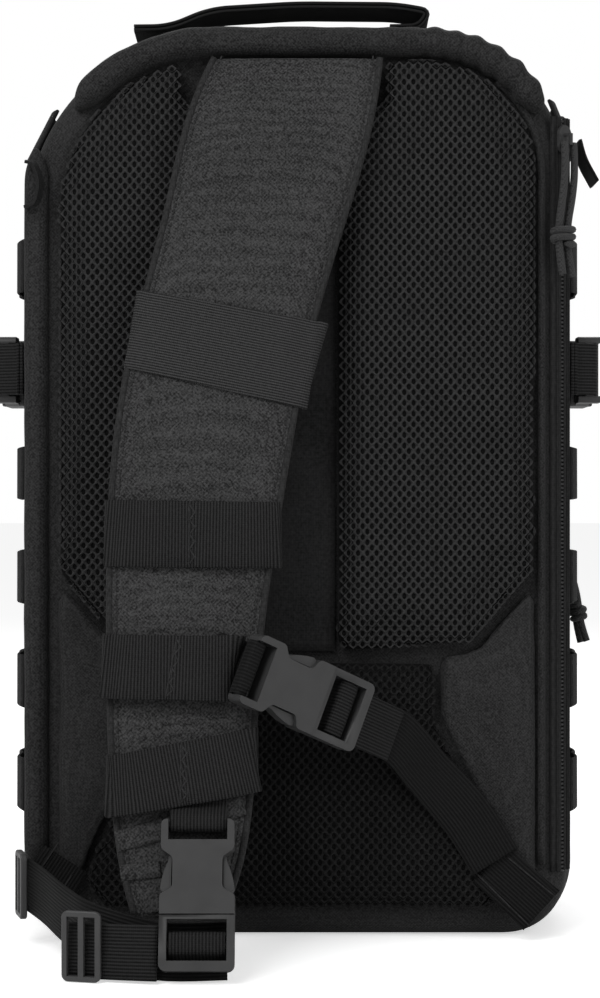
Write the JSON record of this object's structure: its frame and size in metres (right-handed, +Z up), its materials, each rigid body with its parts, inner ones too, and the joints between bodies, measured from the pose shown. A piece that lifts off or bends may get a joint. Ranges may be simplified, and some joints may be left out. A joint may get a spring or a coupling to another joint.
{
  "type": "trauma sling backpack",
  "caption": "One-shoulder medical pack with a padded contoured strap, mesh back, release buckles, webbing rows, zipped fold-down front and rear sleeve.",
  "frame": {"origin": "bottom centre of the pack's box, on the floor that it stands on", "axes": "+X to the right seen from the wearer's side, +Y from the wearer's back towards the front pockets, +Z up"},
  "size_m": [0.3035, 0.281, 0.4554],
  "materials": {
    "air_mesh": "spacer mesh, matte",
    "pack_fabric": "coarse plain-woven nylon, matte",
    "webbing": "ribbed nylon webbing",
    "elastic": "ribbed elastic",
    "buckle_plastic": "fine matte acetal",
    "light_plastic": "satin nylon",
    "zip_tape": "woven zip tape with coil",
    "slider_metal": "black painted, satin",
    "paracord": "braided cord",
    "stiff_sheet": "smooth sheet"
  },
  "bodies": {
    "pack": {"back_pad_left": "air_mesh", "back_pad_right": "air_mesh", "back_panel": "pack_fabric", "carry_handle": "webbing", "corner_ladder_left": "light_plastic", "corner_tabs": "webbing", "cross_socket": "buckle_plastic", "cross_socket_web": "webbing", "cross_web": "webbing", "divider_panel": "pack_fabric", "edge_piping_right": "pack_fabric", "edge_roll_left": "pack_fabric", "elastic_bands": "elastic", "frame_sheet": "stiff_sheet", "front_base": "pack_fabric", "lower_socket": "buckle_plastic", "lower_web": "webbing", "lumbar_pad": "air_mesh", "main_zip_tape_rear": "zip_tape", "rear_zip_tape": "zip_tape", "side_gusset": "pack_fabric", "side_pals": "webbing", "side_sockets": "buckle_plastic", "side_straps": "webbing", "spine_panel": "pack_fabric", "strap_elastic_band": "elastic", "strap_end_web": "webbing", "strap_pad": "pack_fabric", "strap_pals": "webbing", "top_roll": "pack_fabric", "top_straps": "webbing", "wing_left": "pack_fabric", "wing_right": "pack_fabric"},
    "door": {"door_shell": "pack_fabric", "pocket_lower": "pack_fabric", "pocket_upper": "pack_fabric", "pocket_zip_tapes": "zip_tape", "front_pals": "webbing", "main_zip_tape_door": "zip_tape"},
    "cross_buckle_plug": {"cross_plug": "buckle_plastic", "cross_plug_web": "webbing"},
    "lower_buckle_plug": {"lower_plug": "buckle_plastic", "lower_plug_web": "webbing", "web_keeper": "light_plastic"},
    "side_buckle_plug_left": {"side_plug_left": "buckle_plastic", "side_plug_web_left": "webbing"},
    "side_buckle_plug_right": {"side_plug_right": "buckle_plastic", "side_plug_web_right": "webbing"},
    "rear_slider": {"rear_zip_slider": "slider_metal", "rear_zip_cord": "paracord", "rear_zip_knot": "paracord"},
    "main_slider_right": {"main_zip_slider_right": "slider_metal", "main_zip_cord": "paracord", "main_zip_knot": "paracord"},
    "main_slider_left": {"main_zip_slider_left": "slider_metal"},
    "pocket_slider_low": {"pocket_slider_lower": "slider_metal"},
    "pocket_slider_high": {"pocket_slider_upper": "slider_metal"}
  },
  "joints": [
    {"name": "door_fold", "type": "hinge", "parent": "pack", "child": "door", "pos_m": [0, 0.1035, 0.07275], "axis": [-1, 0, 0], "range_deg": [0, 90]},
    {"name": "cross_buckle_release", "type": "slide", "parent": "pack", "child": "cross_buckle_plug", "axis": [0.7836, 0.4778, -0.3971], "range_m": [0, 0.03], "deforming": ["cross_plug"]},
    {"name": "lower_buckle_release", "type": "slide", "parent": "pack", "child": "lower_buckle_plug", "axis": [0, -0.2924, -0.9563], "range_m": [0, 0.032], "deforming": ["lower_plug"]},
    {"name": "side_buckle_release_left", "type": "slide", "parent": "pack", "child": "side_buckle_plug_left", "axis": [0, 1, 0], "range_m": [0, 0.032], "deforming": ["side_plug_left"]},
    {"name": "side_buckle_release_right", "type": "slide", "parent": "pack", "child": "side_buckle_plug_right", "axis": [0, 1, 0], "range_m": [0, 0.032], "deforming": ["side_plug_right"]},
    {"name": "rear_zip_slide", "type": "slide", "parent": "pack", "child": "rear_slider", "axis": [0, 0, -1], "range_m": [0, 0.335]},
    {"name": "main_zip_slide_right", "type": "slide", "parent": "pack", "child": "main_slider_right", "axis": [0, 0, 1], "range_m": [-0.08, 0.055]},
    {"name": "main_zip_slide_left", "type": "slide", "parent": "pack", "child": "main_slider_left", "axis": [0, 0, 1], "range_m": [-0.08, 0.055]},
    {"name": "pocket_zip_slide_lower", "type": "slide", "parent": "door", "child": "pocket_slider_low", "axis": [1, 0, 0], "range_m": [0, 0.1]},
    {"name": "pocket_zip_slide_upper", "type": "slide", "parent": "door", "child": "pocket_slider_high", "axis": [1, 0, 0], "range_m": [0, 0.1]}
  ]
}
